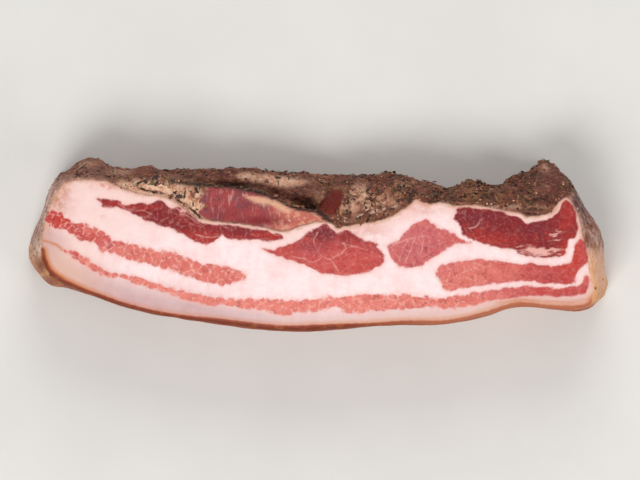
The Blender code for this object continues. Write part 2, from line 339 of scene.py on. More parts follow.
def distance_to_line(places, points, closed=False):
    """Distance in pixels from each place to a line, and the side that it lies on."""
    line = rounded(points, closed)
    ends = np.roll(line, -1, 0) if closed else line[1:]
    starts = line if closed else line[:-1]
    nearest = np.full(len(places), 1e9)
    side = np.zeros(len(places))
    for a, b in zip(starts, ends):
        run = b - a
        away = places - a
        t = np.clip(away @ run / max(run @ run, 1e-9), 0, 1)
        gap = np.hypot(away[:, 0] - t * run[0], away[:, 1] - t * run[1])
        closer = gap < nearest
        nearest[closer] = gap[closer]
        side[closer] = np.sign(run[0] * away[closer, 1] - run[1] * away[closer, 0])
    return nearest, side


def near_line(places, points, width):
    """1 on a line, falling softly to 0 beside it; the width is in pixels."""
    gap, _ = distance_to_line(places, points)
    return np.exp(-(gap / width) ** 2)


def depth_inside(places, outline):
    """How many pixels inside a closed outline each place lies, negative outside it."""
    line = rounded(outline, True)
    depth = np.full(len(places), -MARGIN)
    near = np.all((places > line.min(0) - MARGIN) & (places < line.max(0) + MARGIN), axis=1)
    p = places[near]
    gap, _ = distance_to_line(p, outline, True)
    inside = np.zeros(len(p), bool)
    for a, b in zip(line, np.roll(line, -1, 0)):
        spans = (a[1] > p[:, 1]) != (b[1] > p[:, 1])
        cross = (b[0] - a[0]) * (p[:, 1] - a[1]) / (b[1] - a[1] if b[1] != a[1] else 1e-9) + a[0]
        inside ^= spans & (p[:, 0] < cross)
    depth[near] = np.maximum(np.where(inside, gap, -gap), -MARGIN)
    return depth


def within(places, outline, low, high):
    """0 at low pixels inside a closed outline and 1 at high pixels inside it."""
    return rise(low, high, depth_inside(places, outline))


def spots(places, table):
    """Strength at each place of softly bounded spots, 0 to 1."""
    total = np.zeros(len(places))
    for x, y, half_x, half_y, strength in table:
        away = (places - (x, y)) / (half_x, half_y)
        total = np.maximum(total, strength * np.exp(-(away ** 2).sum(1)))
    return total


def wander(places, size, seed, octaves=3):
    """Smooth noise of about -1 to 1 at each place, with waves of the given size in millimetres."""
    shift = Vector((seed * 3.7, seed * 1.3, seed * 7.1))
    return np.array([noise.fractal(Vector(p) / (size * MM) + shift, 1, 2, octaves) for p in places])


def drift(places, size, seed):
    """Smooth noise across and down at each place."""
    return np.stack([wander(places, size, seed), wander(places, size, seed + 1)], 1)


def drawn_out(places, seed, across, along):
    """Noise drawn out along Y, for the wrinkles across the lip."""
    stretched = places / (across, along, along)
    shift = Vector((seed * 1.7, seed * 2.9, seed * 0.7))
    return np.array([noise.noise(Vector(p) + shift) for p in stretched])


def read_corners(mesh, what):
    """The places ("co") or the normals ("normal") of the mesh's corners."""
    values = np.zeros(len(mesh.vertices) * 3)
    mesh.vertices.foreach_get(what, values)
    return values.reshape(-1, 3)


def paint(mesh, **numbers):
    """Store numbers for the corners of the mesh, each row under its own name."""
    for name, values in numbers.items():
        layer = mesh.attributes.new(name, "FLOAT", "POINT")
        layer.data.foreach_set("value", np.ascontiguousarray(values, dtype=np.float32))


def seen_pixels(places):
    """Where the photograph shows each place, in pixels."""
    shrink = CAMERA_HEIGHT / (CAMERA_HEIGHT + FACE_LEVEL - places[:, 2])
    x = ORIGIN_PIXEL[0] + places[:, 0] * shrink / PIXEL
    y = ORIGIN_PIXEL[1] - places[:, 1] * shrink / PIXEL
    return np.stack([x, y], 1)


def make_skin():
    """The slab's surface: the solid's form, made fine enough for crags and marbling."""
    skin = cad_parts["slab"].copy()
    skin.data = skin.data.copy()
    skin.name = "meat"
    skin.parent = None
    for key in list(skin.keys()):
        del skin[key]
    link(skin)
    skin.data.materials.clear()
    edit(skin)
    bpy.ops.mesh.select_all(action="SELECT")
    bpy.ops.mesh.remove_doubles(threshold=1e-6)
    bpy.ops.mesh.normals_make_consistent(inside=False)
    bpy.ops.object.mode_set(mode="OBJECT")
    remesh = skin.modifiers.new("remesh", "REMESH")
    remesh.mode = "VOXEL"
    remesh.voxel_size = VOXEL
    soften = skin.modifiers.new("soften", "SMOOTH")
    soften.factor = 0.5
    soften.iterations = 5
    bpy.ops.object.modifier_apply(modifier="remesh")
    bpy.ops.object.modifier_apply(modifier="soften")
    refine_cut(skin)
    return skin


def refine_cut(skin):
    """Halve the cells of the fresh cut, where the marbling is finest."""
    mesh = skin.data
    for part in (mesh.vertices, mesh.edges, mesh.polygons):
        part.foreach_set("select", np.zeros(len(part), bool))
    for face in mesh.polygons:
        face.select = face.normal.z > 0.8 and face.center.z > FACE_LEVEL - 1.5 * MM
    edit(skin)
    bpy.ops.mesh.select_mode(type="FACE")
    bpy.ops.mesh.subdivide(number_cuts=1)
    bpy.ops.object.mode_set(mode="OBJECT")


def high_share(places):
    """1 near the cut face and 0 below the lip's crease."""
    return rise(FACE_LEVEL - 11 * MM, FACE_LEVEL - 8 * MM, places[:, 2])


def zones(mesh):
    """Places on the skin, the pixels that show them, and the share of each finish, 0 to 1."""
    places = read_corners(mesh, "co")
    normals = read_corners(mesh, "normal")
    seen = seen_pixels(places)
    x, y = seen.T
    warp = drift(places, 2.2, 1)
    loose = seen + 0.9 * warp
    near_rind = rise(*NEAR_RIND_Y, y)
    high = places[:, 2] > FACE_LEVEL - 6 * MM
    on_cut = np.where(high, within(loose, CUT_EDGE, -1.2, 0.8), 0)
    on_cut *= 1 - near_rind * rise(0.45, 0.1, normals[:, 2])
    back = rise(0.6, 0.9, -normals[:, 2]) * (places[:, 2] < 1.5 * MM)
    cut = np.maximum(on_cut, back)
    gap, beyond = distance_to_line(seen, RIND_LINE)
    left = rise(*LEFT_END_X, x + LEFT_END_SLOPE * (y - MIDDLE_PIXEL[1]) + 5 * warp[:, 0])
    left *= rise(*LEFT_END_Y, y + 6 * warp[:, 1])
    past_peak = PEAK_SLOPE * (PEAK_FOOT_Y - np.minimum(y, PEAK_FOOT_Y))
    right = rise(*RIGHT_END_X, x - past_peak + 3 * warp[:, 0])
    end = (1 - cut) * np.clip(left + right, 0, 1)
    ragged = x + 9 * wander(places, 9, 17, 4)
    rind_side = rise(0.1, 0.45, -normals[:, 1]) * near_rind
    rind_side *= rise(*RIND_SIDE_LEFT_X, ragged) * rise(*RIND_SIDE_RIGHT_X, ragged)
    rind_side *= 1 - cut
    crust = (1 - cut) * np.clip(1 - end - rind_side, 0, 1) * (y < NEAR_RIND_Y[0])
    lip = (1 - cut) * within(loose, BARE_LIP, -1.5, 1.5) * high_share(places)
    return {"places": places, "normals": normals, "seen": seen, "loose": loose, "back": back, "cut": cut,
            "rind_depth": -gap * beyond, "end": end, "rind_side": rind_side, "crust": crust, "lip": lip}


def add_relief(skin):
    """Crags, crumbs and the wrinkled lip as real relief."""
    found = zones(skin.data)
    places = found["places"]
    x = found["seen"][:, 0]
    crags = wander(places, 3.4, 5) + 0.4 * wander(places, 1.5, 6, 2)
    rugged = 0.45 + 0.55 * rise(*RUGGED_X, x)
    sunk = 0.25 + 0.75 * rise(*SUNK_LEFT_X, x) * rise(*SUNK_RIGHT_X, x)
    height = found["crust"] * (1 - 0.8 * found["lip"]) * (CRUST_BUMP * crags * rugged - sunk)
    height += REMESH_LOSS * (1 - found["cut"]) * (1 + found["rind_side"])
    height += found["end"] * 0.35 * wander(places, 5, 7)
    height -= 1.1 * near_line(found["seen"], CRACK, 1.9) * high_share(places)
    height += 0.45 * found["lip"] * drawn_out(places, 11, 1.6 * MM, 9 * MM)
    patch = within(found["loose"], PATCH, -1, 1)
    height = height * (1 - patch) + PATCH_LEVEL * patch
    fade = rise(0.2 * MM, 2.5 * MM, places[:, 2])
    places = np.clip(places + found["normals"] * (height * fade * MM)[:, None], LOW, HIGH)
    # Painted shade and light: high in the crags' hollows, where the crust is painted darker, and low on
    # their tops, where it is painted lighter
    paint(skin.data, hollow=np.clip(0.5 - 0.7 * crags, 0, 1))
    skin.data.vertices.foreach_set("co", places.ravel())
    skin.data.update()


def back_cut_pixels(seen):
    """Pixels of the fresh cut that stand for places on the wider back cut."""
    x = BACK_MIDDLE_X + (seen[:, 0] - BACK_MIDDLE_X) * BACK_WIDTH
    low, top, top_cut = (np.interp(x, *rounded(line, False).T) for line in (RIND_LINE, BACK_CRUST, BACK_CUT))
    share = np.clip((low - seen[:, 1]) / (low - top), 0, 1)
    return np.stack([x, low - share * (low - top_cut)], 1)


def paint_lean(mesh, marbled, ragged):
    """Depth inside the lean, how dark and streaky it is, and the distance to its seams."""
    x, y = marbled.T
    lean = np.full(len(x), -MARGIN)
    tone = np.zeros(len(x))
    streak = np.zeros(len(x))
    for outline, dark, streaky in LEANS:
        depth = depth_inside(ragged, outline)
        deeper = depth > lean
        lean[deeper] = depth[deeper]
        tone[deeper] = dark
        streak[deeper] = streaky
    tone = np.clip(tone + 0.35 * (tone > 0.4) * (rise(*DARK_LEAN_Y, y) - 0.5), 0, 1.2)
    tone += 0.3 * rise(*DARK_LEFT_X, x) * (tone < 0.5)
    tone += 0.29 * rise(*DARK_RIGHT_X, x)
    by_seam = marbled + 0.7 * (ragged - marbled)
    seam = np.min([distance_to_line(by_seam, line)[0] for line in SEAMS], axis=0)
    streak *= 1 - 0.8 * rise(*PLAIN_LEAN_X, x)
    paint(mesh, lean=lean * PIXEL_MM, tone=tone, streak=streak, seam=seam * PIXEL_MM)


def paint_fat(mesh, marbled, rind_depth):
    """Depth inside the rind, and where the fat is dull, creamy, rosy or tanned."""
    x, y = marbled.T
    thick = 0.3 + 0.8 * rise(*THICK_RIND_LEFT_X, x) * rise(*THICK_RIND_RIGHT_X, x)
    dull = rise(*DULL_FAT_X, x)
    paint(mesh, rind_depth=rind_depth - thick, rind_pale=rise(*PALE_RIND_X, x),
          fat_shade=rise(11.5 + 5.5 * dull, 4, rind_depth) * (0.55 + 0.4 * dull),
          fat_cream=rise(7, 2, rind_depth) * rise(*CREAMY_FAT_X, x) * 0.6,
          rosy=rise(*ROSY_FAT_X, x) * rise(*ROSY_FAT_Y, y),
          edge=depth_inside(marbled, CUT_EDGE) * PIXEL_MM + 6 * rise(*CLEAR_FAT_Y, y))


def paint_sides(mesh, found):
    """Where the crust, the lip and the ends are, and what lies on them."""
    places, seen, loose = found["places"], found["seen"], found["loose"]
    x, y = seen.T
    uncut = 1 - found["cut"]
    high = high_share(places)
    paint(mesh, **{name: found[name] for name in ("cut", "end", "rind_side", "crust", "lip")})
    paint(mesh, **{name: spots(loose, table) for name, table in SIDE_SPOTS.items()})
    # The torn membrane's pale line, with the painted highlights of the glints
    shred = np.maximum(near_line(seen + 2.2 * (loose - seen), MEMBRANE, 1.5), spots(seen, GLINTS))
    tan = within(loose, TAN_CRUST, -4, 4) * high
    crack_width = np.maximum(1.3 + 1.2 * wander(places, 3, 41, 2), 0.3)
    paint(mesh, membrane=shred * uncut, lip_warm=rise(*WARM_LIP_X, loose[:, 0]),
          # Painted shade: the crust is painted near-black along the crease behind the lip, where shade falls
          crease=near_line(loose, CREASE, 2.6) * rise(*CREASE_SHADE_X, x) * uncut,
          crack=near_line(loose, CRACK, crack_width) * high,
          tan=np.maximum(tan, 0.8 * within(loose, RIDGE_FAT, -2.5, 2.5)),
          bevel=within(loose, FAT_BEVEL, -1.5, 2) * high,
          patch=within(loose, PATCH, -0.8, 0.8) * (places[:, 2] > 20 * MM),
          stain=np.maximum(near_line(loose, STAIN, 1.3), 0.45 * near_line(loose, FAT_STREAK, 1.2)))
    on_right = rise(*ON_RIGHT_X, x)
    low_end = rise(*LOW_END_Y, loose[:, 1])
    warm = rise(*WARM_LEFT_X, x) * rise(*WARM_LEFT_Y, y)
    warm += rise(*WARM_RIGHT_X, x) * rise(*WARM_RIGHT_Y, y)
    paint(mesh, end_low=on_right * low_end, end_mid=on_right * (1 - low_end), warm=np.clip(warm, 0, 1),
          greyer=on_right * rise(*GREY_END_Y, loose[:, 1]), right_end=rise(*SMOOTH_END_X, x))


def paint_meat(skin):
    """Write the numbers that the meat's colours are drawn from."""
    found = zones(skin.data)
    marbled = found["seen"].copy()
    back = found["back"] > 0.5
    marbled[back] = back_cut_pixels(marbled[back])
    ragged = marbled + 1.5 * drift(found["places"], 3.2, 21)
    paint_lean(skin.data, marbled, ragged)
    paint_fat(skin.data, marbled, found["rind_depth"] * PIXEL_MM)
    paint(skin.data, **{name: spots(ragged, table) for name, table in CUT_SPOTS.items()})
    paint_sides(skin.data, found)
    return found


class Socket:
    """An output or a number in a node tree, with arithmetic that adds Math nodes."""

    def __init__(self, graph, source):
        self.graph = graph
        self.source = source

    def _math(self, operation, a, b):
        return self.graph.add("Math", {"operation": operation}, {0: a, 1: b})

    def __add__(self, other):
        return self._math("ADD", self, other)

    def __radd__(self, other):
        return self._math("ADD", other, self)

    def __sub__(self, other):
        return self._math("SUBTRACT", self, other)

    def __rsub__(self, other):
        return self._math("SUBTRACT", other, self)

    def __mul__(self, other):
        return self._math("MULTIPLY", self, other)

    def __rmul__(self, other):
        return self._math("MULTIPLY", other, self)


class Graph:
    """The node tree of one material. Sizes are in millimetres."""

    def __init__(self, name):
        self.material = bpy.data.materials.new(name)
        self.material.use_nodes = True
        self.tree = self.material.node_tree
        self.tree.nodes.clear()

    def add(self, kind, settings=None, inputs=None, output=0):
        """A shader node of that type, with its settings and then the values or links of its sockets."""
        node = self.tree.nodes.new("ShaderNode" + kind)
        for key, value in (settings or {}).items():
            if key == "stops":
                self._set_stops(node.color_ramp, value)
            else:
                setattr(node, key, value)
        for key, value in (inputs or {}).items():
            if isinstance(value, Socket):
                self.tree.links.new(value.source, node.inputs[key])
            else:
                node.inputs[key].default_value = value
        return Socket(self, node.outputs[output]) if node.outputs else None

    def _set_stops(self, ramp, stops):
        while len(ramp.elements) < len(stops):
            ramp.elements.new(0.5)
        for element, (place, colour) in zip(ramp.elements, stops):
            element.position = place
            element.color = (*colour, 1)

    def read(self, name):
        """A number painted on the mesh."""
        return self.add("Attribute", {"attribute_name": name}, output="Fac")

    def place(self, scale=(1, 1, 1), turn=0):
        """Object coordinates, stretched and turned about Z."""
        where = self.add("TexCoord", output="Object")
        return self.add("Mapping", {}, {"Vector": where, "Scale": scale, "Rotation": (0, 0, turn)})

    def warped(self, size, amount):
        """Object coordinates pushed about by noise, so that patterns have no straight lines."""
        where = self.add("TexCoord", output="Object")
        noisy = {"Vector": where, "Scale": 1 / (size * MM), "Detail": 2}
        push = self.add("TexNoise", {}, noisy, output="Color")
        half = (amount * MM / 2,) * 3
        start = self.add("VectorMath", {"operation": "SUBTRACT"}, {0: where, 1: half})
        whole = (amount * MM,) * 3
        return self.add("VectorMath", {"operation": "MULTIPLY_ADD"}, {0: push, 1: whole, 2: start})

    def clouds(self, size, detail=3, rough=0.55, scale=(1, 1, 1), turn=0, where=None):
        """Noise of 0 to 1 whose patches are about size wide."""
        return self.add("TexNoise", {}, {
            "Vector": where or self.place(scale, turn), "Scale": 1 / (size * MM), "Detail": detail,
            "Roughness": rough}, output="Fac")

    def cells(self, size, feature="F1", where=None):
        """Distance in a cell pattern whose cells are about size wide."""
        return self.add("TexVoronoi", {"feature": feature}, {
            "Vector": where or self.place(), "Scale": 1 / (size * MM)}, output="Distance")

    def step(self, value, low, high, to_low=0, to_high=1):
        """A smooth step from to_low below low to to_high above high."""
        return self.add("MapRange", {"interpolation_type": "SMOOTHSTEP"}, {
            "Value": value, "From Min": low, "From Max": high, "To Min": to_low, "To Max": to_high})

    def mix(self, share, a, b):
        """Colour a where share is 0 and colour b where it is 1."""
        a = a if isinstance(a, Socket) else (*a, 1)
        b = b if isinstance(b, Socket) else (*b, 1)
        return self.add("Mix", {"data_type": "RGBA"}, {0: share, 6: a, 7: b}, output=2)

    def coats(self, base, *layers):
        """Colours laid over a base in turn, each with its share."""
        for share, colour in layers:
            base = self.mix(share, base, colour)
        return base

    def ramp(self, share, stops):
        """Colour read off a ramp of (place, colour) stops."""
        return self.add("ValToRGB", {"stops": stops}, {"Fac": share}, output="Color")

    def finish(self, colour, roughness, height, bump, shine=None):
        """Principled surface with that colour, roughness and bump, and its fixed values in shine."""
        normal = self.add("Bump", {}, {"Height": height, "Distance": bump * MM, "Strength": 1})
        surface = self.add("BsdfPrincipled", {}, {
            "Base Color": colour, "Roughness": roughness, "Normal": normal, **(shine or {})})
        self.add("OutputMaterial", {}, {"Surface": surface})
        return self.material


def rgb(red, green, blue):
    """Linear colour of an sRGB colour given as 0 to 255."""
    shares = (red / 255, green / 255, blue / 255)
    return tuple(c / 12.92 if c <= 0.04045 else ((c + 0.055) / 1.055) ** 2.4 for c in shares)


# Fat
FAT = rgb(251, 229, 227)
FAT_PINK = rgb(240, 202, 192)
FAT_ROSE = rgb(244, 204, 201)
FAT_SHADE = rgb(204, 166, 164)
FAT_CREAM = rgb(226, 180, 156)
FAT_STAIN = rgb(206, 126, 106)
FAT_TAN = rgb(212, 160, 132)
EDGE_TAN = rgb(194, 134, 104)

# Lean
SALMON = rgb(228, 130, 116)
SALMON_PALE = rgb(238, 178, 166)
RED_LEAN = rgb(192, 74, 70)
BRIGHT_RED = rgb(192, 56, 46)
DUSKY_LEAN = rgb(130, 32, 36)
MAUVE_LEAN = rgb(116, 38, 48)
MAUVE_PINK = rgb(196, 104, 122)
SEAM_PALE = rgb(240, 184, 170)

# Rind
RIND_AMBER = rgb(200, 116, 58)
RIND_PALE = rgb(196, 118, 84)
RIND_LEATHER = rgb(164, 92, 60)
RIND_BROWN = rgb(152, 62, 32)
RIND_DARK = rgb(116, 48, 24)

# Crust and spices
# CHAR is the black of pepper, and also the painted shade in the crack and along the crease
CHAR = rgb(30, 20, 17)
CRUST_BLACK = rgb(40, 28, 24)
CRUST_DARK = rgb(62, 35, 27)
CRUST_BROWN = rgb(112, 59, 42)
CRUST_MAUVE = rgb(116, 62, 56)
CRUST_RUST = rgb(146, 80, 48)
CRUST_OLIVE = rgb(128, 94, 56)
CRUST_ORANGE = rgb(196, 112, 66)
CRUST_BLOOM = rgb(164, 128, 122)
CRUST_TAN = rgb(208, 140, 108)
CRUST_PALE = rgb(240, 198, 168)
PATCH_RED = rgb(104, 20, 4)

# Lip
DRIED_LEAN = rgb(170, 70, 70)
DRIED_PURPLE = rgb(142, 72, 76)
DRIED_ORANGE = rgb(222, 124, 104)
DRIED_PALE = rgb(222, 160, 150)
BEVEL_CREAM = rgb(246, 190, 156)

# Dried ends
END_PINK = rgb(228, 186, 172)
END_TAN = rgb(204, 160, 138)
END_PALE = rgb(240, 208, 190)
END_CREAM = rgb(238, 178, 140)
END_AMBER = rgb(234, 164, 104)
END_BROWN = rgb(132, 76, 54)
END_GREY = rgb(112, 82, 80)
END_VIOLET = rgb(92, 60, 62)
SCAB_BROWN = rgb(140, 74, 54)

# Herbs and the floor
HERB_DARK = rgb(52, 44, 28)
HERB_GREEN = rgb(96, 76, 44)
HERB_STRAW = rgb(140, 104, 66)
FLOOR_PALE = rgb(222, 219, 214)
FLOOR_LIGHT = rgb(226, 223, 218)

LIT_POINT = Vector((0, 0, 20 * MM))
MEAT_SHINE = {
    "Subsurface Weight": 0.12, "Subsurface Radius": (1, 0.35, 0.25), "Subsurface Scale": 2.5 * MM,
    "Specular IOR Level": 0.24}

# Each spice: number of grains, size in millimetres, its length, width and thickness as shares of that,
# how far grains tilt, the seed, the roughness and the colours
SPICES = {
    "pepper": (550, 0.85, (1, 0.9, 0.7), 0.35, 3, 0.4, [
        (0, CHAR), (0.5, CRUST_BLACK), (1, CRUST_DARK)]),
    "crumbs": (1200, 0.7, (1.2, 0.9, 0.6), 0.35, 5, 0.5, [
        (0, CRUST_BROWN), (0.3, CRUST_RUST), (0.55, CRUST_TAN), (1, CRUST_PALE)]),
    "bark": (2000, 1.7, (1.5, 0.8, 0.22), 0.16, 9, 0.42, [
        (0, CRUST_BLACK), (0.3, CRUST_DARK), (0.5, CRUST_BROWN), (0.68, CRUST_RUST), (0.84, CRUST_OLIVE),
        (1, CRUST_TAN)]),
    "herbs": (1000, 1.4, (2, 0.55, 0.3), 0.16, 7, 0.5, [
        (0, HERB_DARK), (0.5, HERB_GREEN), (1, HERB_STRAW)]),
}


def fat_colour(g):
    """Fat: pinkish white, duller over the rind, creamy at its ends and tanned next to the crust."""
    mottle = g.step(g.clouds(11, 4), 0.35, 0.7)
    fibres = g.step(g.clouds(1.3, 4, scale=(0.5, 1.3, 1)), 0.42, 0.75)
    streaks = g.step(g.clouds(3, 4, 0.6, scale=(1, 0.3, 1)), 0.42, 0.66)
    inner = g.read("edge") + (g.clouds(8) - 0.5) * 8
    edge = g.read("edge") + (g.clouds(2.4, 4) - 0.5) * 2.6
    return g.coats(
        g.mix(mottle * 0.5 + fibres * 0.3 + streaks * 0.3, FAT, FAT_ROSE),
        (g.read("rosy") * 0.5, FAT_PINK),
        (g.step(inner, 7, 1) * 0.75, FAT_PINK),
        (g.read("fat_shade") * (0.75 + g.clouds(6) * 0.5), FAT_SHADE),
        (g.read("fat_cream"), FAT_CREAM),
        (g.read("warm") * 0.75, FAT_CREAM),
        (g.read("blushed") * g.step(g.clouds(2.2, 4), 0.3, 0.6), FAT_STAIN),
        (g.read("tanned") * (0.35 + g.step(g.clouds(2, 4), 0.35, 0.6) * 0.65), EDGE_TAN),
        (g.step(edge, 1.9, 0) * 0.8, FAT_TAN))


def lean_colour(g, bundles):
    """Lean from salmon to dusky red and mauve, with pale webs between its bundles."""
    dark = g.read("tone")
    tone = dark + (g.clouds(5, 5, 0.6) - 0.5) * 0.8
    grain = g.clouds(0.9, 4, 0.6, scale=(0.7, 1.2, 1))
    warmer = g.step(g.clouds(3.4, 4), 0.52, 0.68)
    dashes = g.step(g.clouds(1.8, 3, 0.6), 0.42, 0.6)
    webs = g.step(bundles, 0.13, 0.01) * dashes
    flecks = g.step(g.clouds(1.3, 4, 0.65), 0.56, 0.68)
    streak = g.read("streak")
    strands = g.clouds(1.9, 5, 0.65, scale=(0.5, 1.3, 1))
    paler = g.read("paler")
    loose = g.step(paler * 1.1 + (strands - 0.5) * 2.6, 0.45, 0.95)
    return g.coats(
        g.ramp(tone, [(0.05, SALMON), (0.5, RED_LEAN), (0.95, DUSKY_LEAN)]),
        (g.read("mauve"), g.mix(g.step(dark, 0.2, 0.75), MAUVE_PINK, MAUVE_LEAN)),
        (g.read("redder"), BRIGHT_RED),
        (g.step(grain, 0.5, 0.8) * (0.38 - dark * 0.2), SALMON_PALE),
        (g.step(g.clouds(2, 4), 0.48, 0.28) * 0.45, DUSKY_LEAN),
        (warmer * 0.4, g.mix(dark, SALMON, BRIGHT_RED)),
        (streak * (webs * 0.62 + flecks * 0.42) + (1 - streak) * (webs + flecks) * 0.05, SEAM_PALE),
        (loose * g.step(paler, 0.05, 0.35) * (0.55 + paler * 0.4), SALMON_PALE))


def cut_colour(g):
    """The fresh cut: fat, lean and the pale seams in it, then the rind's edge."""
    bundles = g.cells(3.9, "DISTANCE_TO_EDGE", g.warped(2.5, 1.6))
    notches = (g.step(bundles, 0, 0.3) - 0.75) * g.read("streak") * 0.75
    ragged = g.read("lean") + (g.clouds(1.2, 5, 0.65) - 0.5) * 1.3 + notches
    seam = g.step(g.read("seam") + (g.clouds(1) - 0.5) * 0.55, 0.5, 0.1)
    faint = g.step(g.clouds(4, 2), 0.35, 0.6)
    lean = g.mix(seam * (0.1 + faint * 0.34), lean_colour(g, bundles), SEAM_PALE)
    depth = g.read("rind_depth") + (g.clouds(2.5) - 0.5) * 0.8
    rind = g.coats(
        g.mix(g.step(depth, 0.2, 1.3), RIND_DARK, RIND_BROWN),
        (g.step(g.clouds(4.5, 5, 0.65), 0.52, 0.68) * 0.4, RIND_AMBER),
        (g.read("rind_pale") * 0.7, RIND_PALE))
    return g.coats(
        fat_colour(g),
        (g.step(ragged, -1.9, -0.1) * 0.42, SALMON_PALE),
        (g.step(ragged, -0.55, 0.5), lean),
        (g.read("stain") * 0.8, RIND_AMBER),
        (g.step(depth, 3.9, 1.3) * (0.5 + g.read("warm") * 0.5), RIND_AMBER),
        (g.step(depth, 1.9, 1.1), rind))


def crust_colour(g):
    """Pepper and herbs stuck on dried meat: black, brown, olive, tan and rust, with painted shade in the
    hollows and along the crease, painted light on the crag tops and painted glints.
    """
    where = g.warped(5, 4)
    patches = g.ramp(g.clouds(7, 5, 0.5, where=where), [
        (0.34, CRUST_DARK), (0.45, CRUST_BROWN), (0.55, CRUST_MAUVE), (0.68, CRUST_TAN)])
    hues = g.clouds(2.6, 4, 0.5, where=where)
    speckle = g.ramp(hues, [
        (0.34, CRUST_BLACK), (0.45, CRUST_BROWN), (0.53, CRUST_RUST), (0.62, CRUST_OLIVE),
        (0.72, CRUST_TAN)])
    strands = g.clouds(2.4, 4, 0.6, scale=(0.35, 1.3, 1), turn=0.12)
    bright = g.ramp(g.clouds(2.4, 5, 0.65), [
        (0.38, CRUST_BLACK), (0.47, CRUST_RUST), (0.56, CRUST_ORANGE), (0.66, CRUST_TAN)])
    broken = g.step(g.clouds(2.4, 4, 0.6), 0.34, 0.56)
    flecks = g.ramp(g.clouds(1.1, 4, 0.6, scale=(0.55, 1.2, 1), turn=0.3), [
        (0.38, CRUST_BLACK), (0.46, CRUST_BROWN), (0.54, CRUST_MAUVE), (0.68, CRUST_TAN)])
    pale = g.mix(g.step(g.clouds(1.5, 4, 0.6), 0.32, 0.6), CRUST_TAN, CRUST_PALE)
    pale = g.mix(g.step(g.clouds(2.6, 4), 0.58, 0.68) * 0.6, pale, CRUST_RUST)
    membrane = g.read("membrane")
    torn = membrane + (g.clouds(1.2) - 0.5) * 1.4 + (g.clouds(4) - 0.5) * 2.2
    return g.coats(
        g.mix(0.55, patches, speckle),
        (g.step(strands, 0.52, 0.66) * 0.45, CRUST_OLIVE),
        (g.step(strands, 0.46, 0.36) * 0.6, CRUST_BLACK),
        (g.step(g.clouds(3.4, 4, 0.6), 0.44, 0.32) * 0.7, CRUST_BLACK),
        (g.step(g.clouds(9), 0.56, 0.68) * 0.5, CRUST_MAUVE),
        (g.read("rusty") * 0.8, bright),
        (g.read("bloom") * g.step(hues, 0.4, 0.6), CRUST_BLOOM),
        # Painted shade in the crags' hollows, then painted light on their tops
        (g.step(g.read("hollow"), 0.55, 1) * 0.6, CRUST_BLACK),
        (g.step(g.read("hollow"), 0.32, 0.05) * 0.35, CRUST_TAN),
        (g.read("olive") * g.step(hues, 0.36, 0.56) * 0.7, CRUST_OLIVE),
        (g.read("mauve_lump") * (0.35 + broken * 0.55), CRUST_MAUVE),
        (g.read("dark_lump") * (0.5 + broken * 0.4), CRUST_BLACK),
        (0.4, flecks),
        (g.read("tan") * 0.9, pale),
        (g.read("tan_lump") * (0.25 + broken * 0.75), pale),
        (g.read("lip"), lip_colour(g)),
        # The pale torn membrane, and painted highlights for the glints
        (g.step(torn, 0.5, 0.95) * membrane * 0.65, END_PALE),
        # Painted shade along the crease behind the lip
        (g.read("crease") * 0.9, CHAR),
        (g.read("patch"), g.mix(g.step(g.clouds(3), 0.5, 0.75) * 0.4, PATCH_RED, CRUST_RUST)))


def lip_colour(g):
    """The bare lean of the lip, dried dark, with paler wrinkles and a creamy bevel."""
    wrinkles = g.clouds(1.3, 4, 0.55, scale=(1, 0.22, 0.5))
    mottle = g.step(g.clouds(2.6, 5, 0.6), 0.46, 0.62)
    return g.coats(
        g.mix(g.step(g.clouds(5, 4), 0.4, 0.64), DRIED_LEAN, DRIED_PURPLE),
        (g.step(wrinkles, 0.52, 0.72) * 0.7, DRIED_PALE),
        (g.read("lip_warm") * 0.75, DRIED_ORANGE),
        (g.read("deep_red"), DUSKY_LEAN),
        (mottle * g.read("lip_warm") * 0.5, BEVEL_CREAM),
        (g.read("bevel") * 0.8, BEVEL_CREAM))


def end_colour(g):
    """The dried ends: tan and pinkish with grey crackle, amber low down and dark specks."""
    where = g.warped(4, 3)
    blotch = g.clouds(4.5, 4, 0.5, where=where)
    low = g.read("end_low")
    right = g.read("right_end")
    flakes = g.step(g.clouds(1.7, 5, 0.65, scale=(1, 0.6, 1)), 0.55, 0.65)
    bark = g.step(g.cells(4.4, "DISTANCE_TO_EDGE", where), 0.06, 0) * g.step(g.clouds(5, 2), 0.42, 0.6)
    wrinkles = g.step(g.clouds(2.6, 5, 0.65, scale=(1.2, 1, 0.4)), 0.54, 0.62)
    return g.coats(
        g.mix(g.step(blotch, 0.4, 0.56), END_PINK, END_TAN),
        (g.step(g.clouds(3.2, 5, 0.65), 0.5, 0.62) * 0.6, END_GREY),
        (g.read("end_mid") * g.step(blotch, 0.34, 0.62, 0.35, 1), END_BROWN),
        (low * 0.8, END_CREAM),
        (g.read("warm") * 0.75, END_AMBER),
        (g.read("greyer") * g.step(g.clouds(3, 5, 0.6), 0.3, 0.62, 0.5, 1), END_VIOLET),
        (flakes * 0.5, END_PALE),
        (g.read("film") * g.step(g.clouds(1.8, 4), 0.34, 0.56), END_PALE),
        (bark * (1 - right * 0.75) * 0.7, CRUST_BROWN),
        (wrinkles * (0.6 - low * 0.45) * (1 - right * 0.55), END_GREY),
        (g.read("scab"), SCAB_BROWN),
        (g.step(g.cells(4.2), 0.17, 0.1) * 0.85, CRUST_DARK))


def rind_colour(g):
    """The leathery outer side of the rind."""
    creases = g.step(g.clouds(3, scale=(0.25, 1, 1.4)), 0.6, 0.72)
    return g.coats(
        g.mix(g.step(g.clouds(26, 5, 0.6), 0.25, 0.62), RIND_LEATHER, RIND_BROWN),
        (g.read("rind_pale") * 0.45, RIND_PALE),
        (g.step(g.clouds(5, 5, 0.65), 0.46, 0.72) * 0.5, RIND_DARK),
        (creases * 0.3, RIND_DARK),
        (g.step(g.cells(2), 0.24, 0.08) * 0.5, RIND_DARK))


